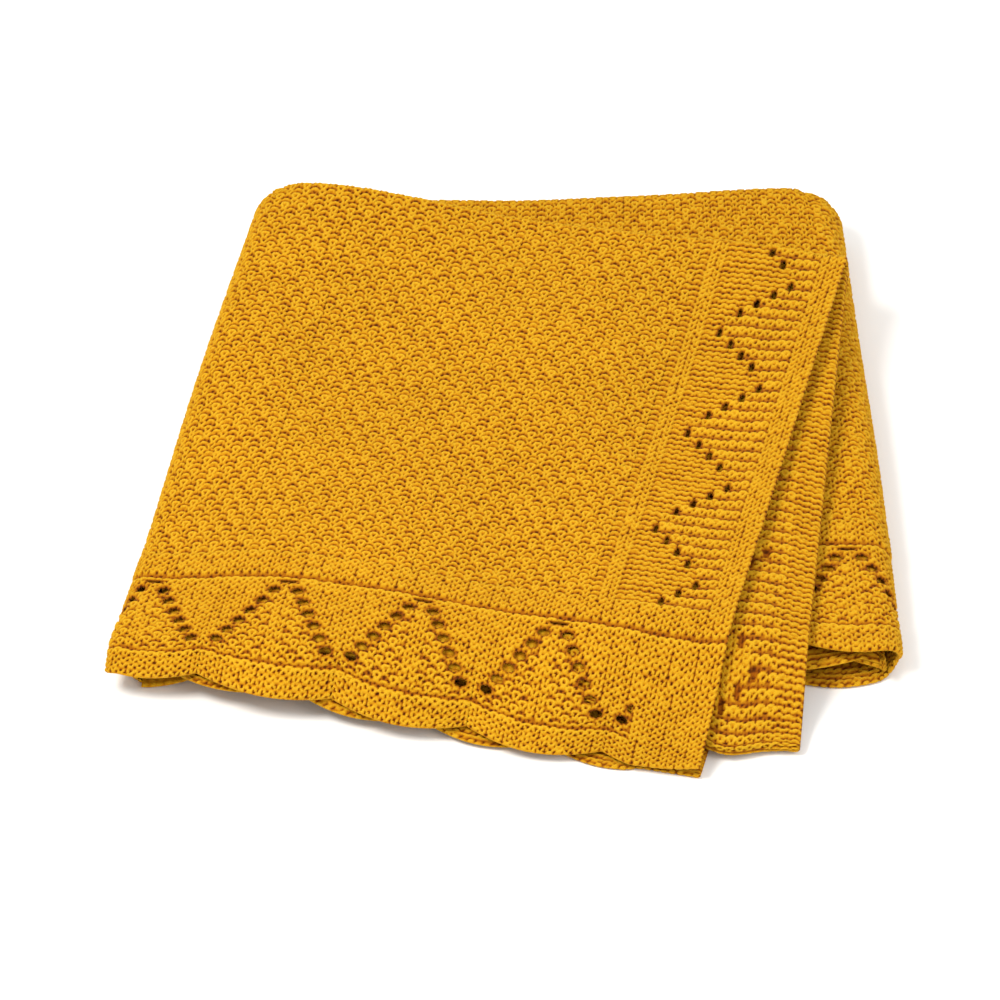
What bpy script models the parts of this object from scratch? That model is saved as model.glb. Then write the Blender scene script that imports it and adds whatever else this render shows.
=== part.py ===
"""A knitted throw blanket, folded small: four leaves deep, then turned under on the right and over from the left.

The blanket is one knitted sheet. Its length is laid in four leaves like an accordion: both scalloped hems and the
fold of the two middle leaves lie at the front, and the other two folds lie at the back. The width is then folded in
three: the under panel goes beneath the centre at the right fold, and the flap comes over it from the left fold.

Metres, +Z up, +X to the right along the front, +Y towards the back. The origin is the middle of the underside.
"""

import math

import bmesh
import bpy
from mathutils import Matrix, Vector

# Sizes of the knitted sheet.
LEAF_LENGTH = 0.254  # a quarter of the blanket's length, hem to back fold
FLAP_WIDTH = 0.240  # left fold to the selvedge of the flap
CENTRE_WIDTH = 0.266  # left fold to right fold, halfway back
UNDER_WIDTH = 0.215  # right fold to the selvedge of the under panel
SHEET_THICKNESS = 0.0029  # the relief of the moss stitch, both faces
LAYER_AIR = 0.0005  # space between two leaves of the pack, which lie flat on each other
FLAP_AIR = 0.0010  # space under each leaf of the flap, which lies looser
HEM_DEPTH = 0.052  # the lace zone along a hem
SCALLOP_WIDTH = 0.057
SCALLOP_DEPTH = 0.004
JOINT_GAP = 0.0003  # between a leaf and the hem or fold that continues it

# How it lies.
LEFT_FOLD_SLANT = math.radians(13.8)
RIGHT_FOLD_SLANT = math.radians(5.8)
BACK_FOLD_TILT = math.radians(3.1)
FLAP_BACK_TURN = math.radians(10.2)
FLAP_FRONT_TURN = math.radians(12.3)
HEM_FLARE = 1.015  # the lace knits up a little wider than the moss stitch
PACK_EASE = 0.0145  # the leaves lie a little longer than they were measured flat
INNER_FOLD_INSET = 0.015  # the inner leaves' left fold, inside the outer one, at the front
HEM_SETBACKS = {"under": {1: 0.000, 4: 0.006}, "centre": {4: 0.004, 1: 0.008}}
INNER_SETBACK = 0.020  # the front fold of the two middle leaves, behind the lowest hem
FLAP_HEM_LEAD = {1: 0.003, 4: 0.000}  # how far each flap hem reaches past the flap's front line
FLAP_LEFT_START = -0.002
FLAP_INNER_LEFT_START = 0.014
FLAP_INNER_FAN = 0.026  # how far the two middle leaves of the flap fan out past its selvedge at the front
FLAP_INNER_TURN = math.radians(11.0)
FLAP_BACK_INSET = 0.008  # the flap's back folds, inside the back line of the pack

# How a leaf falls past the edge of what is under it.
FRONT_HOLD, FRONT_REACH = 0.012, 0.058  # the flap over the front of the pack
SELVEDGE_HOLD, SELVEDGE_REACH = 0.012, 0.080  # the centre over the under panel's selvedge
LEAF_HOLD, LEAF_REACH = 0.003, 0.024  # one leaf of the flap over another

# Colour of the yarn, linear.
YARN_COLOUR = (0.694, 0.319, 0.012, 1.0)
YARN_SHADE = {"leaf": 1.0, "hem": 1.06, "fold": 0.92}

PACK_DEPTH = LEAF_LENGTH + PACK_EASE
FRONT_SPREAD = CENTRE_WIDTH + (math.tan(LEFT_FOLD_SLANT) + math.tan(RIGHT_FOLD_SLANT)) * PACK_DEPTH / 2
ARC_STEPS = 5
SIDE_FOLD_STEPS = {"left": 8, "right": 6}
END_FOLDS = {  # each pair of leaves that an end fold joins, the upper one first
    "under": ((2, 1), (3, 2), (4, 3)),
    "centre": ((3, 4), (2, 3), (1, 2)),
    "flap": ((2, 1), (3, 2), (4, 3)),
}
COLUMNS_PER_SCALLOP = 4
FINE_ROW = 0.0075  # rows along the front, where the flap falls
FINE_ZONE = 0.078
BROAD_ROW = 0.040
NEAR_EDGE = 0.01  # the share of a leaf, next to its edge, that gives the edge its direction


def left_fold(y, inset=0.0):
    """The left fold line at a depth y; the inner leaves' line runs inside it, towards the front."""
    slide = inset * max(0.0, 1.0 - y / PACK_DEPTH)
    return Vector((-FRONT_SPREAD / 2 + y * math.tan(LEFT_FOLD_SLANT) + slide, y))


def right_fold(y):
    return Vector((FRONT_SPREAD / 2 - y * math.tan(RIGHT_FOLD_SLANT), y))


def back_y(x):
    return PACK_DEPTH + x * math.tan(BACK_FOLD_TILT)


def on_back(fold):
    """Where a fold line meets the back line."""
    y = PACK_DEPTH
    for _ in range(8):
        y = back_y(fold(y).x)
    return fold(y)


def along(start, turn, length):
    """A point to the right of start, along a line turned clockwise."""
    return start + length * Vector((math.cos(turn), -math.sin(turn)))


def spread(start, end, steps):
    return [start + (end - start) * i / steps for i in range(steps + 1)]


class Leaf:
    """One leaf of one panel: its four corners in plan and its place in the stack, 0 at the bottom."""

    def __init__(self, panel, level, order, front_left, front_right, back_left, back_right, open_sides):
        self.panel, self.level, self.order = panel, level, order
        self.front_left, self.front_right = front_left, front_right
        self.back_left, self.back_right = back_left, back_right
        self.open_sides = open_sides
        self.has_hem = level in (1, 4)
        self.name = f"{panel}_leaf_{level}"
        self.scallops = max(1, round(self.width() / SCALLOP_WIDTH))
        self.columns = spread(0.0, 1.0, self.scallops * COLUMNS_PER_SCALLOP)

    def plan(self, u, v):
        """Plan point: u from left to right, v from front to back."""
        front = self.front_left.lerp(self.front_right, u)
        back = self.back_left.lerp(self.back_right, u)
        return front.lerp(back, v)

    def length(self):
        return (self.back_left + self.back_right - self.front_left - self.front_right).length / 2

    def width(self):
        return (self.front_right - self.front_left).length

    def cover(self, point):
        """1 on this leaf, falling to 0 past each side where a leaf above may hang over it."""
        corners = {
            "front": (self.front_left, self.front_right, FRONT_HOLD, FRONT_REACH),
            "right": (self.front_right, self.back_right, SELVEDGE_HOLD, SELVEDGE_REACH),
            "left": (self.back_left, self.front_left, SELVEDGE_HOLD, SELVEDGE_REACH),
        }
        share = 1.0
        for side in self.open_sides:
            start, end, hold, reach = corners[side]
            if self.panel == "flap":
                hold, reach = LEAF_HOLD, LEAF_REACH
            run = (end - start).normalized()
            outside = (point - start).dot(Vector((run.y, -run.x)))
            t = min(max((outside - hold) / reach, 0.0), 1.0)
            share *= 1.0 - t * t * (3.0 - 2.0 * t)
        return share

    def pitch(self):
        """The height that this leaf adds to the stack: its own thickness and the air above it."""
        over = LEAVES[self.order + 1].panel if self.order + 1 < len(LEAVES) else self.panel
        return SHEET_THICKNESS + (FLAP_AIR if over == "flap" else LAYER_AIR)


def make_leaves():
    """The twelve leaves from the bottom of the pack to the top."""
    leaves = []

    def add(panel, level, *corners, open_sides):
        leaves.append(Leaf(panel, level, len(leaves), *corners, open_sides=open_sides))

    right_back = on_back(right_fold)
    for level in (1, 2, 3, 4):
        setback = HEM_SETBACKS["under"].get(level, INNER_SETBACK)
        front_right = right_fold(setback)
        front_left = front_right - Vector((UNDER_WIDTH, 0.0))
        back_left = right_back - Vector((UNDER_WIDTH, UNDER_WIDTH * math.tan(BACK_FOLD_TILT)))
        add("under", level, front_left, front_right, back_left, right_back, open_sides=("front", "left"))
    for level in (4, 3, 2, 1):
        inset = 0.0 if level == 4 else INNER_FOLD_INSET
        setback = HEM_SETBACKS["centre"].get(level, INNER_SETBACK)
        left_back = on_back(lambda y: left_fold(y, inset))
        corners = (left_fold(setback, inset), right_fold(setback), left_back, right_back)
        add("centre", level, *corners, open_sides=("front",))
    for level in (1, 2, 3, 4):
        inset = 0.0 if level == 4 else INNER_FOLD_INSET
        flap_back = PACK_DEPTH - FLAP_BACK_INSET
        back_left = left_fold(flap_back, inset)
        back_right = along(left_fold(flap_back), FLAP_BACK_TURN, FLAP_WIDTH)
        if level in (1, 4):
            start = FLAP_LEFT_START - FLAP_HEM_LEAD[level]
            front_right = along(left_fold(start), FLAP_FRONT_TURN, FLAP_WIDTH * HEM_FLARE)
        else:
            start = FLAP_INNER_LEFT_START
            front_right = along(left_fold(start, inset), FLAP_INNER_TURN, FLAP_WIDTH + FLAP_INNER_FAN)
        corners = (left_fold(start, inset), front_right, back_left, back_right)
        add("flap", level, *corners, open_sides=("front", "right"))
    return leaves


LEAVES = make_leaves()
BY_PLACE = {(leaf.panel, leaf.level): leaf for leaf in LEAVES}


def underside(leaf, point):
    """Height of a leaf's lower face over a plan point: it lies on all the leaves below it."""
    return sum(below.pitch() * below.cover(point) for below in LEAVES[: leaf.order])


def new_object(name, vertices, faces, kind):
    """A mesh object with outward faces and its own yarn material."""
    mesh = bpy.data.meshes.new(name)
    shape = bmesh.new()
    corners = [shape.verts.new(vertex) for vertex in vertices]
    for face in faces:
        shape.faces.new([corners[index] for index in face])
    bmesh.ops.recalc_face_normals(shape, faces=shape.faces)
    shape.to_mesh(mesh)
    shape.free()
    obj = bpy.data.objects.new(name, mesh)
    bpy.context.scene.collection.objects.link(obj)
    material = bpy.data.materials.new(name + "_yarn")
    material.use_nodes = True
    surface = material.node_tree.nodes["Principled BSDF"]
    shade = YARN_SHADE[kind]
    surface.inputs["Base Color"].default_value = [min(1.0, part * shade) for part in YARN_COLOUR[:3]] + [1.0]
    surface.inputs["Roughness"].default_value = 0.9
    surface.inputs["Metallic"].default_value = 0.0
    mesh.materials.append(material)
    return obj


def slab(name, rows, kind):
    """A closed sheet from rows of lower points: the upper face lies one sheet thickness above them."""
    count, wide = len(rows), len(rows[0])
    lower = [point for row in rows for point in row]
    upper = [point + Vector((0.0, 0.0, SHEET_THICKNESS)) for point in lower]
    top = len(lower)
    faces = []
    for i in range(count - 1):
        for j in range(wide - 1):
            a, b = i * wide + j, i * wide + j + 1
            c, d = a + wide, b + wide
            faces += [(a, c, b), (b, c, d), (a + top, b + top, c + top), (b + top, d + top, c + top)]
    rim = [j for j in range(wide)]
    rim += [i * wide + wide - 1 for i in range(1, count)]
    rim += [(count - 1) * wide + j for j in range(wide - 2, -1, -1)]
    rim += [i * wide for i in range(count - 2, 0, -1)]
    for here, there in zip(rim, rim[1:] + rim[:1]):
        faces.append((here, there, there + top, here + top))
    return new_object(name, lower + upper, faces, kind)


def tube(name, sections, kind):
    """A closed bent strip from sections, each a closed loop of points."""
    loop = len(sections[0])
    vertices = [point for section in sections for point in section]
    faces = [tuple(range(loop)), tuple(range((len(sections) - 1) * loop, len(sections) * loop))]
    for i in range(len(sections) - 1):
        for j in range(loop):
            a, b = i * loop + j, i * loop + (j + 1) % loop
            faces += [(a, b, a + loop), (b, b + loop, a + loop)]
    return new_object(name, vertices, faces, kind)


def rows_back(leaf, start):
    """Distances from the front line for a leaf's rows: close together where the flap falls, then broad."""
    fine = FINE_ZONE if leaf.panel == "flap" else start
    rows = spread(start, fine, math.ceil((fine - start) / FINE_ROW))[:-1] if fine > start else []
    return rows + spread(fine, leaf.length(), math.ceil((leaf.length() - fine) / BROAD_ROW))


def build_leaf(leaf):
    """The leaf's field, and its lace hem as a piece of its own where it has one."""
    start = 0.0
    if leaf.has_hem:
        start = HEM_DEPTH + JOINT_GAP
        build_hem(leaf)
    rows = []
    for distance in rows_back(leaf, start):
        points = [leaf.plan(u, distance / leaf.length()) for u in leaf.columns]
        rows.append([Vector((p.x, p.y, underside(leaf, p))) for p in points])
    slab(leaf.name, rows, "leaf")


def build_hem(leaf):
    out = (leaf.front_right - leaf.front_left).normalized()
    out = Vector((out.y, -out.x))
    steps = math.ceil(HEM_DEPTH / (FINE_ROW if leaf.panel == "flap" else HEM_DEPTH / 2))
    rows = []
    for share in spread(0.0, 1.0, steps):
        row = []
        for u in leaf.columns:
            bulge = SCALLOP_DEPTH * math.sqrt(abs(math.sin(math.pi * leaf.scallops * u))) * (1.0 - share)
            point = leaf.plan(u, share * HEM_DEPTH / leaf.length()) + out * bulge
            row.append(Vector((point.x, point.y, underside(leaf, point))))
        rows.append(row)
    slab(f"{leaf.panel}_hem_{leaf.level}", rows, "hem")


def bent(low, high, outward):
    """One section of a fold: a half ring of the sheet, from the middle of the lower leaf to that of the upper."""
    middle = (low + high) / 2
    rise = (high - low) / 2
    radius = rise.length
    section = []
    for wall, order in ((SHEET_THICKNESS / 2, 1), (-SHEET_THICKNESS / 2, -1)):
        angles = [math.pi * (i / ARC_STEPS - 0.5) for i in range(ARC_STEPS + 1)][::order]
        for angle in angles:
            reach = outward * (JOINT_GAP + (radius + wall) * math.cos(angle))
            section.append(middle + reach + rise.normalized() * ((radius + wall) * math.sin(angle)))
    return section


def mid_sheet(leaf, point):
    return Vector((point.x, point.y, underside(leaf, point) + SHEET_THICKNESS / 2))


def build_end_fold(panel, upper, lower, at_back):
    """The fold that joins two neighbouring leaves of a panel along their back or front edges.

    It carries on in the direction in which the lower leaf runs out, which slopes where the flap falls.
    """
    top, bottom = BY_PLACE[panel, upper], BY_PLACE[panel, lower]
    v, within = (1.0, 1.0 - NEAR_EDGE) if at_back else (0.0, NEAR_EDGE)
    sections = []
    for u in top.columns:
        low, high = mid_sheet(bottom, bottom.plan(u, v)), mid_sheet(top, top.plan(u, v))
        outward = (low - mid_sheet(bottom, bottom.plan(u, within))).normalized()
        sections.append(bent(low, high, outward))
    place = "back" if at_back else "front"
    first, second = sorted((upper, lower))
    tube(f"{panel}_{place}_fold_{first}{second}", sections, "fold")


def build_side_fold(side, level, steps):
    """The fold that carries a leaf round the left or right side of the pack."""
    if side == "left":
        top, bottom, u, outward = BY_PLACE["flap", level], BY_PLACE["centre", level], 0.0, Vector((-1.0, 0.0, 0.0))
    else:
        top, bottom, u, outward = BY_PLACE["centre", level], BY_PLACE["under", level], 1.0, Vector((1.0, 0.0, 0.0))
    inset = INNER_FOLD_INSET if side == "left" and level != 4 else 0.0
    front = max(top.plan(u, 0.0).y, bottom.plan(u, 0.0).y)
    back = min(top.plan(u, 1.0).y, bottom.plan(u, 1.0).y)
    sections = []
    for y in spread(front, back, steps):
        point = left_fold(y, inset) if side == "left" else right_fold(y)
        sections.append(bent(mid_sheet(bottom, point), mid_sheet(top, point), outward))
    tube(f"{side}_fold_{level}", sections, "fold")


def hinge_line(side):
    """Two points on the line that a panel turns about: the middle of its nested side folds."""
    fold = left_fold if side == "left" else right_fold
    outer = BY_PLACE[("flap", 4) if side == "left" else ("centre", 1)]
    under = BY_PLACE[("centre", 4) if side == "left" else ("under", 1)]
    ends = []
    for y in (0.0, PACK_DEPTH):
        point = fold(y)
        ends.append((mid_sheet(outer, point) + mid_sheet(under, point)) / 2)
    return ends


def recentre():
    """Moves every mesh so that the origin is the middle of the underside, and returns the shift."""
    meshes = [obj.data for obj in bpy.context.scene.objects if obj.type == "MESH"]
    corners = [vertex.co for mesh in meshes for vertex in mesh.vertices]
    low = Vector([min(corner[axis] for corner in corners) for axis in range(3)])
    high = Vector([max(corner[axis] for corner in corners) for axis in range(3)])
    shift = Vector((-(low.x + high.x) / 2, -(low.y + high.y) / 2, -low.z))
    for mesh in meshes:
        mesh.transform(Matrix.Translation(shift))
    return shift


def add_hinge(name, side, members, parent, shift):
    """An empty on the hinge line, its Z along the line, that carries the panel's pieces."""
    front, back = hinge_line(side)
    run = (back - front) if side == "right" else (front - back)
    empty = bpy.data.objects.new(name, None)
    bpy.context.scene.collection.objects.link(empty)
    empty.location = (front + back) / 2 + shift
    empty.rotation_euler = run.to_track_quat("Z", "Y").to_euler()
    if parent:
        empty.parent = parent
        empty.matrix_parent_inverse = parent.matrix_world.inverted()
    bpy.context.view_layer.update()
    for obj in list(bpy.context.scene.objects):
        if obj.name.startswith(members):
            obj.parent = empty
            obj.matrix_parent_inverse = empty.matrix_world.inverted()
    return empty


for stale in list(bpy.data.objects):
    bpy.data.objects.remove(stale)

for each in LEAVES:
    build_leaf(each)

for sheet, pairs in END_FOLDS.items():
    for above, beneath in pairs:
        build_end_fold(sheet, above, beneath, at_back={above, beneath} != {2, 3})

for turn in (1, 2, 3, 4):
    for place, steps in SIDE_FOLD_STEPS.items():
        build_side_fold(place, turn, steps)

moved = recentre()
centre_hinge = add_hinge("right_hinge", "right", ("centre_", "left_fold_"), None, moved)
add_hinge("left_hinge", "left", ("flap_",), centre_hinge, moved)
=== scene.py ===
"""A folded knitted throw blanket in mustard yarn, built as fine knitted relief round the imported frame.

Metres, +Z up. The blanket is one knitted sheet, laid in four leaves and then folded in three panels:
the under panel, the centre, and the flap that comes over from the left. What shows at rest is meshed
stitch by stitch, and what lies hidden inside is plainer.
"""

import math

import bpy
import numpy as np
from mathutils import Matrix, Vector


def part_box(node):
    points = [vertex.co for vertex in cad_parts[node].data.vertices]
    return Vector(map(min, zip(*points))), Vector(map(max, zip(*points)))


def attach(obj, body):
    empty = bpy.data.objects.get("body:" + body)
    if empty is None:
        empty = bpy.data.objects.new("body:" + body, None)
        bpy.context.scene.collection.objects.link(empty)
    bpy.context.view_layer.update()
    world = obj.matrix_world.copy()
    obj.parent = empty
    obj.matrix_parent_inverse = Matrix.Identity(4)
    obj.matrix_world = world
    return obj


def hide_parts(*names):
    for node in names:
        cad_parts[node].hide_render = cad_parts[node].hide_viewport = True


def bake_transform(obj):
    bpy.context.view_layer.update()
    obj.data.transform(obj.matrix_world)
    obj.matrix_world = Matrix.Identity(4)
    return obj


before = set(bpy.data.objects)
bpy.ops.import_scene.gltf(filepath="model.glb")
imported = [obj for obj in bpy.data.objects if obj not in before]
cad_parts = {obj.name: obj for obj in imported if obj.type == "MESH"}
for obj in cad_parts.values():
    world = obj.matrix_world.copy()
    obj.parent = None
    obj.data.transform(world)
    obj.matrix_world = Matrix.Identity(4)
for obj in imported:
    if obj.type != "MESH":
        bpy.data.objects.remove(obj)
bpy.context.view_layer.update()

# --- Table top and light --------------------------------------------------------------------------
# The blanket lies on a pale table under large soft lights, and is looked at from the front and well
# above it, through a lens so long that the leaves' edges hardly draw together towards the back.

VIEW_ELEVATION = math.radians(43)
LENS = 1000.0
SENSOR = 36.0
SEEN_WIDTH = 0.413  # of the table, across the view
AIM = Vector((-0.0006, 0.0040, 0.0))


def linear(hex_colour):
    """A colour written as sRGB hex, in linear light."""
    parts = [int(hex_colour[i:i + 2], 16) / 255 for i in (1, 3, 5)]
    return [p / 12.92 if p <= 0.04045 else ((p + 0.055) / 1.055) ** 2.4 for p in parts] + [1.0]


def add_node(tree, kind, settings=None, **links):
    """A node with its settings, and each input given as a value or as another node's output."""
    node = tree.nodes.new(kind)
    for key, value in (settings or {}).items():
        setattr(node, key, value)
    for key, value in links.items():
        name = int(key[1:]) if key[1:].isdigit() else key.replace("_", " ")
        socket = node.inputs[name]
        if isinstance(value, bpy.types.NodeSocket):
            tree.links.new(value, socket)
        else:
            socket.default_value = value
    return node


def add_light(name, place, size, power, colour):
    """A round soft light that points at the blanket."""
    light = bpy.data.lights.new(name, "AREA")
    light.shape = "DISK"
    light.size = size
    light.energy = power
    light.color = linear(colour)[:3]
    holder = bpy.data.objects.new(name, light)
    bpy.context.scene.collection.objects.link(holder)
    holder.location = place
    holder.rotation_euler = (AIM - Vector(place)).to_track_quat("-Z", "Y").to_euler()


add_light("key_light", (-0.85, -0.45, 1.5), 0.7, 25.0, "#FFFCF8")
add_light("fill_light", (1.3, -0.9, 1.3), 1.4, 14.0, "#FFFFFF")
add_light("rim_light", (0.6, 1.5, 1.0), 1.0, 3.0, "#FFFFFF")

world = bpy.data.worlds.new("studio")
bpy.context.scene.world = world
bpy.context.scene.view_settings.view_transform = "Standard"
world.use_nodes = True
world.node_tree.nodes["Background"].inputs["Color"].default_value = linear("#FFFFFF")
world.node_tree.nodes["Background"].inputs["Strength"].default_value = 0.82

bpy.ops.mesh.primitive_plane_add(size=12.0, location=(0.0, 0.0, -0.0002))
table = bpy.context.active_object
table.name = "table_top"
paper = bpy.data.materials.new("white seamless paper")
paper.use_nodes = True
paper_surface = paper.node_tree.nodes["Principled BSDF"]
paper_surface.inputs["Base Color"].default_value = linear("#F6F6F4")
paper_surface.inputs["Roughness"].default_value = 0.9
table.data.materials.append(paper)

camera_data = bpy.data.cameras.new("camera")
camera_data.lens = LENS
camera_data.sensor_width = SENSOR
camera = bpy.data.objects.new("camera", camera_data)
bpy.context.scene.collection.objects.link(camera)
reach = SEEN_WIDTH * LENS / SENSOR
camera.location = AIM + reach * Vector((0.0, -math.cos(VIEW_ELEVATION), math.sin(VIEW_ELEVATION)))
camera.rotation_euler = (AIM - camera.location).to_track_quat("-Z", "Y").to_euler()
bpy.context.scene.camera = camera


# --- How the sheet lies ---------------------------------------------------------------------------
# The knitting is one sheet, folded by hand. Each leaf's corners and heights come from the frame. Past
# the edge of what is under it a leaf sinks in a smooth curve, as a soft knit does.

ORDER = [("under", n) for n in (1, 2, 3, 4)]
ORDER += [("centre", n) for n in (4, 3, 2, 1)]
ORDER += [("flap", n) for n in (1, 2, 3, 4)]
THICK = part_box("under_leaf_1")[1][2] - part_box("under_leaf_1")[0][2]
OPEN_SIDES = {"under": ("front", "left"), "centre": ("front",), "flap": ("front", "right")}
FRONT_DROP = (0.004, 0.046)  # how far past an edge the sinking starts, and over what length it goes on
SELVEDGE_DROP = (0.012, 0.080)
LEAF_DROP = (0.003, 0.024)
WAVE_HEIGHT = 0.0011
WAVE_LENGTH = 0.105
CORNER_RADIUS = 0.0095
CORNER_RISE = 0.0050  # the flap stands higher over its back left corner, where four bends are stacked
RISE_MIDDLE = 0.09
RISE_SPREAD = 0.12
FRONT_SETTLE = 0.76  # the pile lies pressed flatter along its front than at its back folds
SETTLE_POWER = 1.3
TUCKS = {  # leaves whose front corner lies further in: the end it is at (0 left, 1 right), and how far
    ("centre", 4): (0, (0.008, 0.0)),
    ("under", 1): (1, (-0.001, 0.006)),
}
FAN_REACH = 0.009  # the fanned edge of the flap comes forward where it shows
FAN_MIDDLE = 0.88
FAN_SPREAD = 0.055
ROUND_CORNERS = {"flap": (0,), "centre": (0, 1), "under": (1,)}


def node_points(*names):
    """The corner points of some CAD nodes, leaving out any name that the frame doesn't have."""
    points = []
    for name in names:
        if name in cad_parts:
            points += [tuple(v.co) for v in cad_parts[name].data.vertices]
    return np.array(points)


def leaf_corners(panel, level):
    """Front left, front right, back left and back right of a leaf in plan, from its CAD nodes."""
    points = node_points(f"{panel}_leaf_{level}", f"{panel}_hem_{level}")
    x, y = points[:, 0], points[:, 1]
    picks = (np.argmin(x + y), np.argmax(x - y), np.argmin(x - y), np.argmax(x + y))
    return [points[pick, :2] for pick in picks]


CORNERS = {place: leaf_corners(*place) for place in ORDER}
TOPS = [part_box(f"{panel}_leaf_{level}")[1][2] for panel, level in ORDER]
PITCH = np.diff(TOPS + [TOPS[-1] + THICK])


def fall(distance, hold, length):
    """1 up to hold past an edge, then a smooth fall to 0 over length."""
    t = np.clip((distance - hold) / length, 0.0, 1.0)
    return 1.0 - t * t * (3.0 - 2.0 * t)


def cover(place, x, y):
    """1 over a leaf, falling smoothly to 0 past each side where the leaves above hang over it."""
    front_left, front_right, back_left, back_right = CORNERS[place]
    sides = {
        "front": (front_left, front_right, FRONT_DROP),
        "right": (front_right, back_right, SELVEDGE_DROP),
        "left": (back_left, front_left, SELVEDGE_DROP),
    }
    share = np.ones_like(x)
    for side in OPEN_SIDES[place[0]]:
        start, end, drop = sides[side]
        if place[0] == "flap":
            drop = LEAF_DROP
        run = (end - start) / np.linalg.norm(end - start)
        share = share * fall((x - start[0]) * run[1] - (y - start[1]) * run[0], *drop)
    return share


def wave(x, y):
    """The soft unevenness of a hand-folded pile, in metres at full height."""
    a, b = x / WAVE_LENGTH, y / WAVE_LENGTH
    long_waves = np.sin(5.1 * a + 2.3 * b) + 0.7 * np.sin(3.7 * b - 4.3 * a + 1.0)
    return WAVE_HEIGHT * (long_waves + 0.5 * np.sin(9.0 * a - 1.7))


def middle_height(order, x, y):
    """Height of the middle of a leaf's thickness over plan points."""
    height = sum(PITCH[k] * cover(ORDER[k], x, y) for k in range(order))
    off_table = np.clip(height / TOPS[-1] * 3, 0, 1)
    height = height + THICK / 2 + wave(x, y) * order / len(ORDER) * off_table
    front, back = CORNERS[("centre", 1)][0][1], CORNERS[("centre", 1)][2][1]
    back_share = np.clip((y - front) / (back - front), 0, 1)
    return height * (FRONT_SETTLE + (1 - FRONT_SETTLE) * back_share ** SETTLE_POWER)


def eased_corner(place, u, v):
    """u and v with the leaf's folded back corners drawn round: a knit can't fold to a sharp corner."""
    for end in ROUND_CORNERS[place[0]]:
        side = (u if end == 0 else 1 - u) * leaf_width(place)
        back = (1 - v) * leaf_length(place)
        a = np.clip(1 - side / CORNER_RADIUS, 0, 1)
        b = np.clip(1 - back / CORNER_RADIUS, 0, 1)
        slide = a * (1 - np.sqrt(1 - b * b / 2)) * CORNER_RADIUS / leaf_width(place)
        u = u + (slide if end == 0 else -slide)
        v = v - b * (1 - np.sqrt(1 - a * a / 2)) * CORNER_RADIUS / leaf_length(place)
    return u, v


def leaf_point(place, u, v):
    """Points in the middle of a leaf: u from left to right, v from front to back, both 0 to 1."""
    front_left, front_right, back_left, back_right = CORNERS[place]
    u, v = eased_corner(place, u, v)
    u, v = u[..., None], v[..., None]
    front = front_left * (1 - u) + front_right * u
    back = back_left * (1 - u) + back_right * u
    plan = front * (1 - v) + back * v
    if place in TUCKS:
        end, inward = TUCKS[place]
        plan = plan + np.array(inward) * (u if end else 1 - u) ** 5 * (1 - v) ** 4
    if place in (("flap", 2), ("flap", 3)):
        fanned = np.exp(-((u - FAN_MIDDLE) / FAN_SPREAD) ** 2) * (1 - v) ** 5
        plan = plan - np.array([0.0, FAN_REACH]) * fanned
    z = middle_height(ORDER.index(place), plan[..., 0], plan[..., 1])
    if place[0] == "flap":
        raised = np.exp(-((u - RISE_MIDDLE) / RISE_SPREAD) ** 2) * v ** 5
        z = z + CORNER_RISE * raised[..., 0] * place[1] / 4
    return np.concatenate([plan, z[..., None]], axis=-1)


def leaf_length(place):
    """A leaf's length in plan, from front to back along its middle."""
    front_left, front_right, back_left, back_right = CORNERS[place]
    return float(np.linalg.norm((back_left + back_right - front_left - front_right) / 2))


def leaf_width(place):
    """A leaf's width in plan, halfway back."""
    front_left, front_right, back_left, back_right = CORNERS[place]
    return float(np.linalg.norm(front_right - front_left + back_right - back_left) / 2)


def half_ring(start, end, outward, angle, fullness=1.0):
    """Points on the bend from start (angle 0) to end (angle pi). It bulges outward, round where fullness
    is 1 and pressed flatter below that."""
    centre, arm = (start + end) / 2, (start - end) / 2
    size = np.linalg.norm(arm, axis=-1, keepdims=True)
    angle = angle[..., None]
    return centre + arm * np.cos(angle) + outward * size * np.sin(angle) * fullness


# --- The knitting ---------------------------------------------------------------------------------
# Worsted yarn 1.2 mm thick in plain loops, 28 stitches and 34 rows to 10 cm. Each loop is drawn through
# the one below, forwards for a knit stitch and backwards for a purl one, and the relief is that of the
# yarn which comes out on top. Lifts are in millimetres.

STITCH = 0.00358
ROW = 0.00294
YARN_RADIUS = 0.165  # of a stitch's width, like the loop's own sizes
LOOP_SWING = 0.239
LOOP_HEIGHT = 0.55
LOOP_DEPTH = 0.15
LOOP_STEPS = 22
LOWEST = -0.10
SHEET_CORE = 0.00030  # the least half thickness, deep between two loops
LOOP_UNEVEN = (0.17, 0.28)  # of a stitch across, and of a row up
YARN_UNEVEN = (1.2, 0.9)
PANEL_STITCHES = {"flap": 68, "centre": 74, "under": 60}
HEM_ROWS = 24
EDGE_ROWS = 4
BAND_ROWS = 4
LACE_TOP = HEM_ROWS - BAND_ROWS - 1
LEAF_REPEAT = 15.8
HEM_SPINE = {1: 8.9, 4: 1.0}  # the stitch that a lace leaf's spine is on, in leaves 1 and 4
CORNER_STITCHES = 9
SIDE_STITCHES = 17
RIB_STITCHES = 4
SELVEDGE_STITCHES = 3
ZIGZAG_ROWS = 20
ZIGZAG_START = 1.3
ZIGZAG_SWING = 8.2
EYELET_WIDTH = 0.92
EYELET_HEIGHT = 0.78
SLIT_WIDTH = 0.40
SLIT_HEIGHT = 1.30
NO_EYELET = 9.0
OPEN_BELOW = 0.62
KNIT, PURL = 1.0, -1.0


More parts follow.
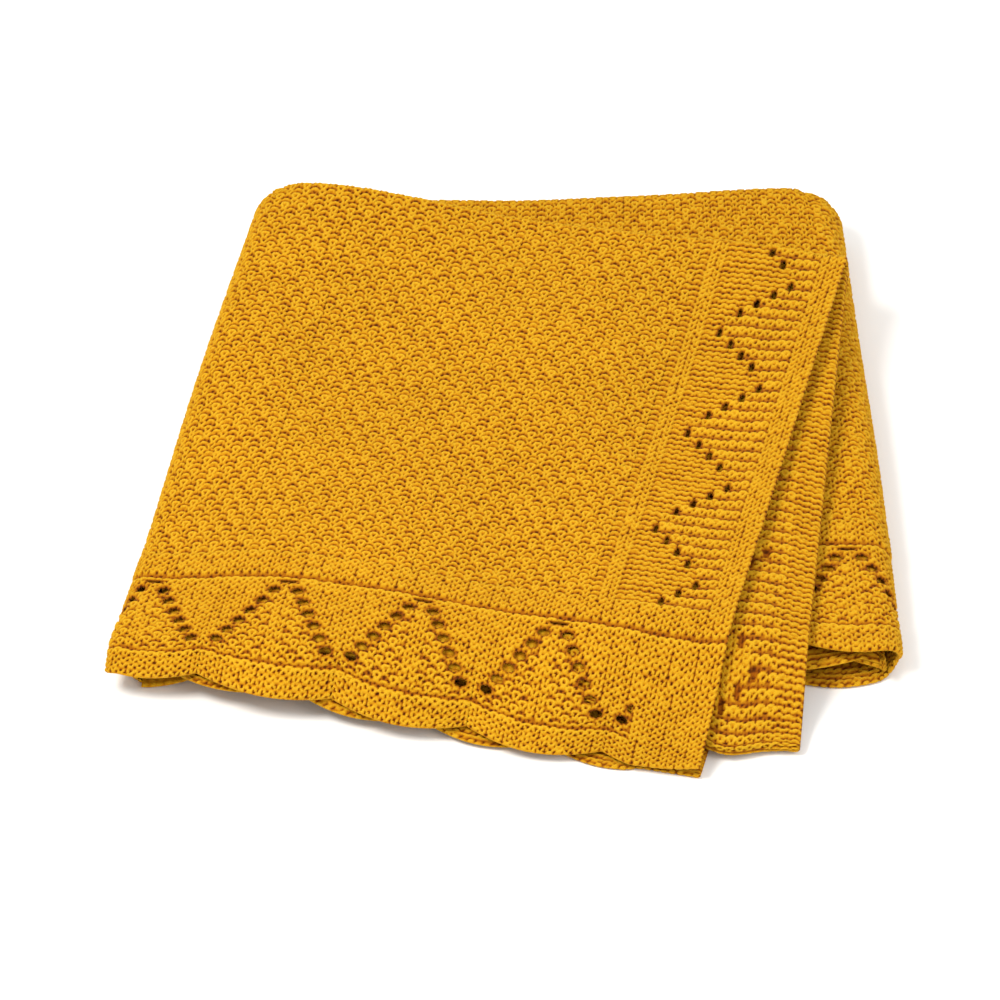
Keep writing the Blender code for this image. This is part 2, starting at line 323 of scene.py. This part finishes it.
def uneven(i, j):
    """Small shifts of each loop, which keep the knitting from looking printed."""
    mixed = np.sin(i * 12.9898 + j * 78.233) * 437.585
    other = np.sin(i * 39.346 + j * 11.135) * 265.133
    across, up = LOOP_UNEVEN
    return across * (mixed - np.floor(mixed) - 0.5), up * (other - np.floor(other) - 0.5)


def loop_relief(s, t, kind):
    """Height of the topmost yarn at stitch s and row t, from 0 deep between loops to 1 on their crowns.
    kind gives the stitch at a whole column and row."""
    column, row = np.floor(s), np.floor(t)
    best = np.full(s.shape, LOWEST)
    turns = np.linspace(-math.pi, math.pi, LOOP_STEPS, endpoint=False)
    for dj in (-1, 0, 1):
        for di in (-1, 0, 1):
            i, j = column + di, row + dj
            own, above = kind(i, j), kind(i, j + 1)
            beside = {-1: (own + kind(i - 1, j)) / 2, 1: (own + kind(i + 1, j)) / 2}
            shift_x, shift_y = uneven(i, j)
            from_x = s - (i + 0.5 + shift_x)
            from_y = (t - (j + 0.5 + shift_y)) * ROW / STITCH
            fullness = YARN_RADIUS ** 2 * (1 + YARN_UNEVEN[0] * shift_x + YARN_UNEVEN[1] * shift_y)
            for turn in turns:
                x = turn / (2 * math.pi) + LOOP_SWING * math.sin(2 * turn)
                y = LOOP_HEIGHT * math.cos(turn)
                crossed = math.sin(turn) ** 2
                end = 1 - crossed
                z = own * crossed - (above if y > 0 else beside[1 if turn > 0 else -1]) * end
                apart = fullness - (from_x - x) ** 2 - (from_y - y) ** 2
                yarn_top = LOOP_DEPTH * z + np.sqrt(np.maximum(apart, 0))
                best = np.maximum(best, np.where(apart > 0, yarn_top, LOWEST))
    return (best - LOWEST) / (LOOP_DEPTH + YARN_RADIUS - LOWEST)


def side_zigzag(j):
    """The eyelet line of the side border: its distance from the selvedge band, in stitches."""
    phase = (j % ZIGZAG_ROWS) / ZIGZAG_ROWS
    return ZIGZAG_START + ZIGZAG_SWING * np.abs(2 * phase - 1)


def hem_leaf(level, s, t):
    """Where a point lies in a lace leaf of the hem: its distance from the spine, and the leaf's half
    width there."""
    off = (s - HEM_SPINE[level] + LEAF_REPEAT / 2) % LEAF_REPEAT - LEAF_REPEAT / 2
    return off, (LACE_TOP - t) / 2.0 + 0.4


def from_selvedge(panel, s):
    """Stitches from the blanket's side edge, which the centre panel is far from."""
    if panel == "flap":
        return PANEL_STITCHES[panel] - s
    return s if panel == "under" else s + 99.0


def stitch_plan(place, i, j):
    """The stitch at column i and row j of a leaf, and how far it stands up from the sheet."""
    panel, level = place
    edge = np.floor(from_selvedge(panel, i + 0.5))
    kind = np.where((i + np.floor(j / 2)) % 2 == 0, KNIT, PURL)
    lift = np.zeros_like(kind)
    in_side = edge < SIDE_STITCHES
    ridged = (edge < SELVEDGE_STITCHES + side_zigzag(j)) & in_side
    rib = (edge >= SIDE_STITCHES - RIB_STITCHES) & in_side
    band = edge < SELVEDGE_STITCHES
    kind = np.where(in_side, PURL, kind)
    lift = np.where(in_side, -0.10, lift)
    kind = np.where(ridged, np.where(j % 2 < 1, PURL, KNIT), kind)
    lift = np.where(ridged, np.where(j % 2 < 1, 0.30, -0.16), lift)
    rib_knit = (edge == SIDE_STITCHES - 2) | (edge == SIDE_STITCHES - 3)
    kind = np.where(rib, np.where(rib_knit, KNIT, PURL), kind)
    lift = np.where(rib, np.where(rib_knit, 0.26, -0.20), lift)
    kind = np.where(band, KNIT, kind)
    lift = np.where(band, np.where(edge == SELVEDGE_STITCHES - 1, -0.05, 0.34), lift)
    if level not in (1, 4):
        return kind, lift
    off, half = hem_leaf(level, i + 0.5, j + 0.5)
    plain = edge < CORNER_STITCHES
    leaf = (np.abs(off) < half) & ~plain
    spine = leaf & (np.abs(off) < 1.0)
    hem_kind = np.where(leaf & ~spine, np.where((i + j) % 2 == 0, KNIT, PURL), KNIT)
    hem_lift = np.where(spine, 0.42, np.where(leaf, 0.10, 0.0))
    gutter = (j == EDGE_ROWS) & ~plain
    hem_kind = np.where(gutter, PURL, hem_kind)
    hem_lift = np.where(gutter, 0.10, hem_lift)
    shade = j == LACE_TOP
    hem_kind = np.where((j > LACE_TOP) | (j < EDGE_ROWS), KNIT, hem_kind)
    hem_kind = np.where(shade, PURL, hem_kind)
    hem_lift = np.where(j < EDGE_ROWS, 0.12, hem_lift)
    hem_lift = np.where(j > LACE_TOP, 0.36, hem_lift)
    hem_lift = np.where(shade, -0.30, hem_lift)
    in_hem = j < HEM_ROWS
    return np.where(in_hem, hem_kind, kind), np.where(in_hem, hem_lift, lift)


def blended_lift(place, s, t):
    """The lift of the stitches round a point, run smoothly into each other."""
    i, j = np.floor(s - 0.5), np.floor(t - 0.5)
    x, y = s - 0.5 - i, t - 0.5 - j
    near = [stitch_plan(place, i + di, j + dj)[1] for dj in (0, 1) for di in (0, 1)]
    below = near[0] * (1 - x) + near[1] * x
    above = near[2] * (1 - x) + near[3] * x
    return below * (1 - y) + above * y


def eyelets(place, s, t):
    """How near a point is to the middle of an eyelet: 0 in the middle, 1 at its rim."""
    panel, level = place
    near = np.full(s.shape, NO_EYELET)
    step = np.floor(t / 2) * 2 + 1.0
    edge = from_selvedge(panel, s)
    spot = SELVEDGE_STITCHES + side_zigzag(step) + 0.4
    slit = ((edge - spot) / SLIT_WIDTH) ** 2 + ((t - step) / SLIT_HEIGHT) ** 2
    turning = step % (ZIGZAG_ROWS / 2) < 1.5
    above_hem = (t > HEM_ROWS) | (level not in (1, 4))
    near = np.where((edge < SIDE_STITCHES) & above_hem & ~turning, slit, near)
    if level in (1, 4):
        off, half = hem_leaf(level, s, step)
        lace = (t > EDGE_ROWS + 2) & (t < LACE_TOP) & (edge > CORNER_STITCHES)
        lace = lace & (half < LEAF_REPEAT / 2 + 0.2)
        for sign in (-1, 1):
            ring = ((off - sign * half) / EYELET_WIDTH) ** 2 + ((t - step) / EYELET_HEIGHT) ** 2
            near = np.where(lace, np.minimum(near, ring), near)
    return near


def stitch_lines(start, end, per_unit):
    """Grid lines from start to end, evenly spaced, per_unit to a stitch or row."""
    return np.linspace(start, end, max(1, int(round((end - start) * per_unit))) + 1)


def joined(*runs):
    """One run of grid lines from several that share their ends."""
    return np.unique(np.round(np.concatenate(runs), 6))


def shell_faces(solid, index, back_step):
    """Faces of a closed sheet over a grid: its face, its back, which may be coarser, and the walls at its
    rim and round eyelets."""
    count = index.size
    a, b, c, d = index[:-1, :-1], index[:-1, 1:], index[1:, 1:], index[1:, :-1]
    polygons = [np.stack([a, b, c, d], -1)[solid]]
    if back_step == 1:
        polygons.append(np.stack([a, d, c, b], -1)[solid] + count)
        framed = np.pad(solid, 1)
        high, wide = a.shape
        for up, across, first, second in ((0, -1, d, a), (0, 1, b, c), (-1, 0, a, b), (1, 0, c, d)):
            beside = framed[1 + up:1 + up + high, 1 + across:1 + across + wide]
            rim = solid & ~beside
            wall = [second[rim], first[rim], first[rim] + count, second[rim] + count]
            polygons.append(np.stack(wall, -1))
        return polygons
    last_line, last_column = index.shape[0] - 1, index.shape[1] - 1
    rows = np.unique(np.append(np.arange(0, last_line + 1, back_step), last_line))
    columns = np.unique(np.append(np.arange(0, last_column + 1, back_step), last_column))
    coarse = index[np.ix_(rows, columns)] + count
    a, b, c, d = coarse[:-1, :-1], coarse[:-1, 1:], coarse[1:, 1:], coarse[1:, :-1]
    polygons.append(np.stack([a, d, c, b], -1).reshape(-1, 4))
    around = (
        (index[0], columns),
        (index[:, -1], rows),
        (index[-1, ::-1], last_column - columns[::-1]),
        (index[::-1, 0], last_line - rows[::-1]),
    )
    for line, stops in around:
        for start, end in zip(stops[:-1], stops[1:]):
            back_edge = [line[start] + count, line[end] + count]
            polygons.append(np.concatenate([line[start:end + 1][::-1], back_edge])[None])
    return polygons


def knit_sheet(name, across, up, middle_of, look, material, back_step=1):
    """A closed knitted sheet over grid lines across (stitches) and up (rows). middle_of gives the middle
    surface, and look gives how far the face and the back stand out from it, their crowns, where they
    are plain, and where the sheet is open."""
    s, t = np.meshgrid(across, up)
    middle = middle_of(s, t)
    normal = np.cross(np.gradient(middle, axis=1), np.gradient(middle, axis=0))
    normal /= np.maximum(np.linalg.norm(normal, axis=-1, keepdims=True), 1e-12)
    face, back, face_crown, back_crown, face_plain, back_plain, hole = look(s, t)
    points = np.concatenate([(middle + normal * face[..., None]).reshape(-1, 3),
                             (middle - normal * back[..., None]).reshape(-1, 3)])
    open_cells = (hole[:-1, :-1] + hole[1:, :-1] + hole[:-1, 1:] + hole[1:, 1:]) / 4 < OPEN_BELOW
    index = np.arange(s.size).reshape(s.shape)
    polygons = shell_faces(~open_cells, index, back_step)
    sizes = np.concatenate([np.full(len(p), p.shape[1]) for p in polygons])
    corners = np.concatenate([p.ravel() for p in polygons])
    used, corners = np.unique(corners, return_inverse=True)
    mesh = bpy.data.meshes.new(name)
    mesh.vertices.add(len(used))
    mesh.vertices.foreach_set("co", points[used].ravel())
    mesh.loops.add(len(corners))
    mesh.loops.foreach_set("vertex_index", corners)
    mesh.polygons.add(len(sizes))
    mesh.polygons.foreach_set("loop_start", np.concatenate([[0], np.cumsum(sizes)[:-1]]))
    mesh.update(calc_edges=True)
    mesh.validate()
    flat_mm = np.stack([s * STITCH * 1000, t * ROW * 1000], -1).reshape(-1, 2)
    flat_places = np.tile(flat_mm, (2, 1))[used]
    layer = mesh.uv_layers.new(name="UVMap")
    layer.data.foreach_set("uv", flat_places[corners].ravel())
    # The crown, the height in the relief, is stored so that the material paints shade by it.
    for attribute, on_face, on_back in (("crown", face_crown, back_crown), ("plain", face_plain, back_plain)):
        stored = mesh.attributes.new(attribute, "FLOAT", "POINT")
        values = np.concatenate([on_face.ravel(), on_back.ravel()])[used]
        stored.data.foreach_set("value", values.astype(np.float32))
    obj = bpy.data.objects.new(name, mesh)
    bpy.context.scene.collection.objects.link(obj)
    mesh.shade_smooth()
    mesh.set_sharp_from_angle(angle=math.radians(85))
    mesh.materials.append(material)
    return obj


# --- Yarn -----------------------------------------------------------------------------------------
# Two-ply worsted, dyed mustard before knitting: matt, with a soft bloom of fibre ends that catches the light.
# Deep orange-brown painted shade lies between the stitches, darker the lower the relief.

PLY_TWIST_MM = 1.1
FIBRE_MM = 0.28
SHADE_PATCH_MM = 42.0
STITCH_DOT_MM = 3.3  # plain, hidden leaves show their stitches in the material alone


def yarn(name, crown_colour, side_shade_colour, hollow_shade_colour, eyelet_shadow_colour, bump):
    """The knitted yarn's material. Its colour carries painted shade by the height in the relief: the yarn's
    own colour on the crowns, darker down the sides and in the hollows, and a near black-brown painted shadow
    in the eyelets.
    """
    material = bpy.data.materials.new(name)
    material.use_nodes = True
    tree = material.node_tree
    surface = tree.nodes["Principled BSDF"]
    stitches = add_node(tree, "ShaderNodeUVMap", {"uv_map": "UVMap"}).outputs["UV"]
    place = add_node(tree, "ShaderNodeTexCoord").outputs["Object"]
    relief_crown = add_node(tree, "ShaderNodeAttribute", {"attribute_name": "crown"}).outputs["Fac"]
    plain = add_node(tree, "ShaderNodeAttribute", {"attribute_name": "plain"}).outputs["Fac"]
    # Painted shade: on plain leaves the crown comes from these dots, so the colour darkens between them as
    # shade does between stitches.
    dots = add_node(tree, "ShaderNodeTexVoronoi", {"voronoi_dimensions": "2D"}, Vector=stitches,
                    Scale=1 / STITCH_DOT_MM, Randomness=0.45)
    dot_crown = add_node(tree, "ShaderNodeMapRange", {}, Value=dots.outputs["Distance"],
                         From_Min=0.05, From_Max=0.75, To_Min=1.0, To_Max=0.15)
    mixed = add_node(tree, "ShaderNodeMix", {"data_type": "FLOAT"},
                     _0=plain, _2=relief_crown, _3=dot_crown.outputs[0])
    crown = mixed.outputs[0]
    fibres = add_node(tree, "ShaderNodeTexNoise", {"noise_dimensions": "2D"}, Vector=stitches,
                      Scale=1 / FIBRE_MM, Detail=3.0, Roughness=0.6)
    twist = add_node(tree, "ShaderNodeTexWave", {"wave_type": "BANDS", "bands_direction": "DIAGONAL"},
                     Vector=stitches, Scale=1 / PLY_TWIST_MM / 2, Distortion=2.5, Detail=1.0,
                     Detail_Scale=1.5)
    patches = add_node(tree, "ShaderNodeTexNoise", {}, Vector=place, Scale=1000 / SHADE_PATCH_MM,
                       Detail=2.0)
    # Painted shade: the ramp darkens the colour from the crown colour down to the eyelet shadow colour as the
    # relief height falls.
    shade_ramp = add_node(tree, "ShaderNodeValToRGB", {}, Fac=crown)
    shade_ramp.color_ramp.elements[0].position = 0.0
    shade_ramp.color_ramp.elements[0].color = linear(eyelet_shadow_colour)
    hollow = shade_ramp.color_ramp.elements.new(0.14)
    hollow.color = linear(hollow_shade_colour)
    shade_ramp.color_ramp.elements[2].position = 0.95
    shade_ramp.color_ramp.elements[2].color = linear(crown_colour)
    middle = shade_ramp.color_ramp.elements.new(0.55)
    middle.color = linear(side_shade_colour)
    mottle = add_node(tree, "ShaderNodeMapRange", {}, Value=fibres.outputs["Fac"],
                      From_Min=0.3, From_Max=0.7, To_Min=0.78, To_Max=1.20)
    drift = add_node(tree, "ShaderNodeMapRange", {}, Value=patches.outputs["Fac"],
                     From_Min=0.3, From_Max=0.7, To_Min=0.97, To_Max=1.03)
    shade = add_node(tree, "ShaderNodeMath", {"operation": "MULTIPLY"},
                     _0=mottle.outputs[0], _1=drift.outputs[0])
    colour = add_node(tree, "ShaderNodeVectorMath", {"operation": "SCALE"},
                      Vector=shade_ramp.outputs["Color"], Scale=shade.outputs[0])
    tree.links.new(colour.outputs["Vector"], surface.inputs["Base Color"])
    relief = add_node(tree, "ShaderNodeMath", {"operation": "MULTIPLY_ADD"},
                      _0=twist.outputs["Fac"], _1=0.35, _2=fibres.outputs["Fac"])
    plain_height = add_node(tree, "ShaderNodeMath", {"operation": "MULTIPLY"},
                            _0=plain, _1=dot_crown.outputs[0])
    height = add_node(tree, "ShaderNodeMath", {"operation": "MULTIPLY_ADD"},
                      _0=plain_height.outputs[0], _1=3.0, _2=relief.outputs[0])
    raised = add_node(tree, "ShaderNodeBump", {}, Strength=bump, Distance=0.00035,
                      Height=height.outputs[0])
    tree.links.new(raised.outputs["Normal"], surface.inputs["Normal"])
    surface.inputs["Roughness"].default_value = 0.92
    surface.inputs["IOR"].default_value = 1.45
    surface.inputs["Specular IOR Level"].default_value = 0.15
    surface.inputs["Sheen Weight"].default_value = 0.10
    surface.inputs["Sheen Roughness"].default_value = 0.5
    surface.inputs["Sheen Tint"].default_value = linear("#FFC850")
    return material


# Painted shade: the side, hollow and eyelet colours are darkened copies of the crown colour that stand in for
# shade falling into the relief.
mustard = yarn("mustard worsted yarn, knitted", "#D6A31C", "#C6870A", "#904A02", "#4E2002", 0.9)


# --- How a leaf is knitted and turned -------------------------------------------------------------
# Stitch columns run on round the side folds, and rows run on round the end folds, so that no seam shows
# where the sheet turns over. The upper of two leaves carries the end fold that joins them.

SIDE_FOLD_STITCHES = 10
END_FOLD_ROWS = 4
FOLD_OVERRUN = 9  # the most stitches that a side fold is carried on past its lower edge
LEFT_FULLNESS = (0.55, 0.42)  # of a round bend at the back, and how much fuller the fold is at the front
RIGHT_FULLNESS = (0.98, 0.28)
FULLNESS_POWER = 1.5
LOWER_PRESS = 0.5
SCALLOP = 0.0078
SCALLOP_POWER = 0.9
SCALLOP_MIDDLE = 0.62
SCALLOP_ROWS = 17.0
HEM_INSET = {("flap", 1): 0.0045}
SELVEDGE_CURL = 0.0036
CURL_STITCHES = 7
EDGE_ROUND = 0.55
EDGE_LEAST = 0.12
PLAIN_HALF = 0.0010  # half thickness where the sheet has no relief
PLAIN_CROWN = 0.75
RELIEF_SHARE = 0.82
FINE_SPACING = 0.35  # grid lines up to this far apart, in stitches or rows, carry the yarn's relief
SPACING_FADE = 0.2
RIM_DEPTH = 0.0006
BACK_RIM_DEPTH = 0.0004
RIM_SHADE = 0.8
WRONG_UP = (("flap", 1), ("flap", 3), ("centre", 2), ("centre", 4), ("under", 1), ("under", 3))
NEXT_LEAF = {("flap", 4): (3, 1.0), ("flap", 3): (2, 0.0), ("flap", 2): (1, 1.0),
             ("centre", 1): (2, 1.0), ("centre", 2): (3, 0.0), ("centre", 3): (4, 1.0),
             ("under", 4): (3, 1.0), ("under", 3): (2, 0.0), ("under", 2): (1, 1.0)}
FRONT_ROWS = 10
BACK_ROWS = 8
FLAT_STEPS = 400
ROW_LINES = {}  # rows from a leaf's front to each of its steps, counted along the curve of its middle
for place in ORDER:
    shares = np.linspace(0, 1, FLAT_STEPS)
    line = leaf_point(place, np.full(FLAT_STEPS, 0.5), shares)
    lengths = np.linalg.norm(np.diff(line, axis=0), axis=1)
    ROW_LINES[place] = np.concatenate([[0], np.cumsum(lengths)]) / ROW


def row_count(place):
    """Rows of a leaf between its end folds."""
    return ROW_LINES[place][-1]


def share_of_length(place, t):
    """The share of a leaf's length that row t is at."""
    return np.interp(t, ROW_LINES[place], np.linspace(0, 1, FLAT_STEPS))


def across_panel(place, s, v):
    """Points of a leaf at stitch s and share v of its length, carried on round the side fold past its
    edge. The fold is fuller at the front, where its lower half is pressed under the pile."""
    panel, level = place
    wide = PANEL_STITCHES[panel]
    points = leaf_point(place, np.clip(s / wide, 0, 1), v)
    if panel == "under":
        return points
    if panel == "flap":
        partner, u, past, (least, more) = ("centre", level), 0.0, -s, LEFT_FULLNESS
        outward = np.array([-1.0, 0.0, 0.0])
    else:
        partner, u, past, (least, more) = ("under", level), 1.0, s - wide, RIGHT_FULLNESS
        outward = np.array([1.0, 0.0, 0.0])
    angle = np.clip(past / SIDE_FOLD_STITCHES, 0, 1) * math.pi
    over = np.clip(past - SIDE_FOLD_STITCHES, 0, FOLD_OVERRUN) / PANEL_STITCHES[partner[0]]
    fullness = least + more * (1 - v) ** FULLNESS_POWER
    pressed = fullness * (1 - LOWER_PRESS * angle / math.pi * (1 - v) ** 3)
    upper = leaf_point(place, np.full_like(v, u), v)
    lower = leaf_point(partner, np.abs(u - over), v)
    ring = half_ring(upper, lower, outward, angle, pressed[..., None])
    return np.where((past > 0)[..., None], ring, points)


def lay(place, s, t):
    """The middle surface of a leaf at stitch s, row t, with its scallops and the end fold that it carries."""
    panel, level = place
    rows = row_count(place)
    v = share_of_length(place, np.clip(t, 0, rows))
    points = across_panel(place, s, v)
    front_left, front_right = CORNERS[place][:2]
    run = (front_right - front_left) / np.linalg.norm(front_right - front_left)
    ahead = np.array([run[1], -run[0], 0.0])
    if level in (1, 4):
        off, _ = hem_leaf(level, s, t)
        scalloped = np.clip((from_selvedge(panel, s) - CORNER_STITCHES + 2) / 2, 0, 1)
        arch = np.abs(np.cos(math.pi * off / LEAF_REPEAT)) ** SCALLOP_POWER
        bulge = SCALLOP * (arch - SCALLOP_MIDDLE) * scalloped
        bulge = bulge - HEM_INSET.get(place, 0.0)
        points = points + ahead * (bulge * np.clip(1 - t / SCALLOP_ROWS, 0, 1) ** 1.3)[..., None]
    if place not in NEXT_LEAF:
        return points
    if place == ("flap", 4):
        points[..., 2] += SELVEDGE_CURL * np.clip(1 - from_selvedge(panel, s) / CURL_STITCHES, 0, 1) ** 2
    after, end = NEXT_LEAF[place]
    past = (-t if end == 0.0 else t - rows) / END_FOLD_ROWS
    ends = np.full_like(v, end)
    ring = half_ring(across_panel(place, s, ends), across_panel((panel, after), s, ends),
                     ahead if end == 0.0 else -ahead, np.clip(past, 0, 1) * math.pi)
    return np.where((past > 0)[..., None], ring, points)


def knitted_look(place, fine, both_sides, holes):
    """The relief function of a leaf, with its free edges drawn in to a round edge. Without holes its
    eyelets are dents."""
    panel, level = place

    def one_side(s, t, sign, plain):
        if not fine:
            return np.full_like(s, PLAIN_HALF), np.full_like(s, PLAIN_CROWN)
        lift = sign * blended_lift(place, s, t) / 1000
        relief = loop_relief(s, t, lambda i, j: sign * stitch_plan(place, i, j)[0])
        height = SHEET_CORE + relief * (LOOP_DEPTH + YARN_RADIUS - LOWEST) * STITCH * RELIEF_SHARE + lift
        return height * (1 - plain) + PLAIN_HALF * plain, relief * (1 - plain) + PLAIN_CROWN * plain

    def look(s, t):
        up_sign = -1.0 if place in WRONG_UP else 1.0
        spacing = np.maximum(np.abs(np.gradient(s, axis=1)), np.abs(np.gradient(t, axis=0)))
        plain = np.clip((spacing - FINE_SPACING) / SPACING_FADE, 0, 1) if fine else np.ones_like(s)
        face, face_crown = one_side(s, t, up_sign, plain)
        if both_sides:
            back, back_crown = one_side(s, t, -up_sign, plain)
            back_plain = plain
        else:
            back, back_crown = np.full_like(s, PLAIN_HALF), np.full_like(s, PLAIN_CROWN)
            back_plain = np.ones_like(s)
        near = eyelets(place, s, t)
        if holes:
            rim = np.clip((1.7 - near) / 1.1, 0, 1)
            face = face * (1 - rim) + RIM_DEPTH * rim
            back = back * (1 - rim) + BACK_RIM_DEPTH * rim
        else:
            rim = np.clip((1.2 - near) / 0.6, 0, 1)
            face = face * (1 - rim) - RIM_DEPTH * rim
        # Painted shadow: the crown, and with it the colour, is darkened round each eyelet and in the dents
        # that stand for eyelets.
        face_crown = face_crown * (1 - RIM_SHADE * rim)
        plain, back_plain = plain * (1 - rim), back_plain * (1 - rim)
        distances = []
        if panel != "centre":
            distances.append(from_selvedge(panel, s))
        if level in (1, 4):
            distances.append(t)
        for distance in distances:
            inside = np.clip(distance / EDGE_ROUND, 0.0, 1.0)
            edge = EDGE_LEAST + (1 - EDGE_LEAST) * np.sqrt(1 - (1 - inside) ** 2)
            face, back = face * edge, back * edge
        hole = near if holes else np.full_like(s, NO_EYELET)
        return face, back, face_crown, back_crown, plain, back_plain, hole

    return look


def turn_with(obj, place, carried_round):
    """Ties a leaf to its body; one that is carried round a side fold has its transform baked in instead and
    is tied to no body.
    """
    panel, level = place
    if not carried_round:
        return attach(obj, panel)
    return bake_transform(obj)


def knit_leaf(name, place, across, up, fine=True, both_sides=True, holes=True, back_step=1, stands_for=()):
    """A piece of a leaf over some of its stitches and rows, tied to its body unless it is carried round a
    side fold, and hiding the CAD nodes that it stands for.
    """
    panel, level = place
    look = knitted_look(place, fine, both_sides, holes)
    obj = knit_sheet(name, across, up, lambda s, t: lay(place, s, t), look, mustard, back_step)
    past_left = panel == "flap" and across[0] < 0
    past_right = panel == "centre" and across[-1] > PANEL_STITCHES[panel]
    turn_with(obj, place, past_left or past_right)
    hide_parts(*stands_for)
    return obj


def last_row(place):
    """The last row of a leaf, with those of the back end fold if it carries that."""
    return row_count(place) + (END_FOLD_ROWS if NEXT_LEAF.get(place, (0, 0.0))[1] == 1.0 else 0)


def first_row(place):
    """The first row of a leaf, below 0 if it carries the front end fold."""
    return -END_FOLD_ROWS if NEXT_LEAF.get(place, (0, 1.0))[1] == 0.0 else 0


def row_lines(place, front, middle, back):
    """Row lines of a whole leaf: closer together over its first and last few rows, where it is seen."""
    start, end = first_row(place), last_row(place)
    runs = (start, FRONT_ROWS, front), (FRONT_ROWS, end - BACK_ROWS, middle), (end - BACK_ROWS, end, back)
    return joined(*(stitch_lines(*run) for run in runs))


# --- Under panel ----------------------------------------------------------------------------------
# Four leaves that lie on the table, from the right fold to the selvedge. Hidden but for their right
# end, which shows in the mouth of the right fold, and their hems and end folds.

UNDER = PANEL_STITCHES["under"]
FOLD_NODES = {1: [], 2: ["back_fold_12"], 3: ["front_fold_23"], 4: ["back_fold_34"]}
for level in (1, 2, 3, 4):
    place = ("under", level)
    nodes = [f"under_leaf_{level}"] + [f"under_{fold}" for fold in FOLD_NODES[level]]
    nodes += [f"under_hem_{level}"] if level in (1, 4) else []
    columns = joined(stitch_lines(0, 4, 3), stitch_lines(4, 44, 1), stitch_lines(44, UNDER, 3))
    knit_leaf(f"under_leaf_{level}_knit", place, columns, row_lines(place, 3, 1, 3), holes=False,
              stands_for=nodes)


# --- Centre panel ---------------------------------------------------------------------------------
# Four leaves over the under panel. The topmost one shows at the back and along the right, and its
# columns run on down the right fold.

CENTRE = PANEL_STITCHES["centre"]
RIGHT_END = CENTRE + SIDE_FOLD_STITCHES + 0.5
CENTRE_FOLDS = {4: [], 3: ["back_fold_34"], 2: ["front_fold_23"]}
SEEN_FROM = 48
SEEN_BACK_ROWS = 24
for level in (4, 3, 2):
    place = ("centre", level)
    nodes = [f"centre_leaf_{level}", f"right_fold_{level}"]
    nodes += [f"centre_{fold}" for fold in CENTRE_FOLDS[level]]
    nodes += ["centre_hem_4"] if level == 4 else []
    columns = joined(stitch_lines(0, 12, 2), stitch_lines(12, 60, 1), stitch_lines(60, RIGHT_END, 3))
    knit_leaf(f"centre_leaf_{level}_knit", place, columns, row_lines(place, 3, 1, 3), holes=False,
              stands_for=nodes)

top = ("centre", 1)
top_end = last_row(top)
knit_leaf("centre_top_right_field", top, stitch_lines(SEEN_FROM, RIGHT_END, 5),
          stitch_lines(HEM_ROWS, top_end, 5),
          both_sides=False, holes=False, back_step=4, stands_for=("centre_leaf_1", "right_fold_1"))
knit_leaf("centre_top_rear_field", top, stitch_lines(0, SEEN_FROM, 5),
          stitch_lines(top_end - SEEN_BACK_ROWS, top_end, 5),
          both_sides=False, holes=False, back_step=4, stands_for=("centre_back_fold_12",))
knit_leaf("centre_top_covered_field", top, stitch_lines(0, SEEN_FROM, 1),
          stitch_lines(HEM_ROWS, top_end - SEEN_BACK_ROWS, 1), fine=False, holes=False)
knit_leaf("centre_top_right_hem", top, stitch_lines(SEEN_FROM, RIGHT_END, 5),
          stitch_lines(0, HEM_ROWS, 5), stands_for=("centre_hem_1",))
knit_leaf("centre_top_covered_hem", top, stitch_lines(0, SEEN_FROM, 2), stitch_lines(0, HEM_ROWS, 2),
          holes=False)


# --- Flap -----------------------------------------------------------------------------------------
# Four leaves turned over from the left. The topmost shows the whole pattern: moss field, lace hem with
# scallops and the side border. The third one fans out to the right, wrong side up.

FLAP = PANEL_STITCHES["flap"]
LEFT_END = -SIDE_FOLD_STITCHES - 0.5
BORDER = FLAP - SIDE_STITCHES
columns = joined(stitch_lines(LEFT_END, 6, 2), stitch_lines(6, 40, 1), stitch_lines(40, FLAP, 3))
knit_leaf("flap_bottom_field", ("flap", 1), columns,
          stitch_lines(HEM_ROWS, last_row(("flap", 1)), 1), fine=False,
          holes=False, stands_for=("flap_leaf_1", "left_fold_1"))
knit_leaf("flap_bottom_hem", ("flap", 1), stitch_lines(LEFT_END, FLAP, 3), stitch_lines(0, HEM_ROWS, 3),
          stands_for=("flap_hem_1",))
knit_leaf("flap_second_leaf", ("flap", 2), columns, row_lines(("flap", 2), 3, 1, 3), holes=False,
          stands_for=("flap_leaf_2", "left_fold_2", "flap_back_fold_12"))
third = ("flap", 3)
FAN_FROM = 42
knit_leaf("flap_third_leaf_covered", third, stitch_lines(LEFT_END, FAN_FROM, 1.5),
          row_lines(third, 3, 1, 2), holes=False, stands_for=("flap_leaf_3", "left_fold_3"))
knit_leaf("flap_third_leaf_fan", third, stitch_lines(FAN_FROM, FLAP, 5),
          stitch_lines(first_row(third), last_row(third), 5),
          both_sides=False, holes=False, back_step=4, stands_for=("flap_front_fold_23",))
top = ("flap", 4)
top_end = last_row(top)
cuts = np.round(np.linspace(LEFT_END, BORDER, 4))
for n, (start, end) in enumerate(zip(cuts[:-1], cuts[1:])):
    nodes = (("left_fold_4",), ("flap_leaf_4",), ("flap_back_fold_34",))[n]
    knit_leaf(f"flap_top_field_{n + 1}", top, stitch_lines(start, end, 7), stitch_lines(HEM_ROWS, top_end, 6),
              both_sides=False, holes=False, back_step=4, stands_for=nodes)
knit_leaf("flap_top_side_border", top, stitch_lines(BORDER, FLAP, 6), stitch_lines(HEM_ROWS, top_end, 5))
hem_middle = round((LEFT_END + FLAP) / 2)
knit_leaf("flap_top_hem_left", top, stitch_lines(LEFT_END, hem_middle, 6), stitch_lines(0, HEM_ROWS, 6),
          stands_for=("flap_hem_4",))
knit_leaf("flap_top_hem_right", top, stitch_lines(hem_middle, FLAP, 6), stitch_lines(0, HEM_ROWS, 6))
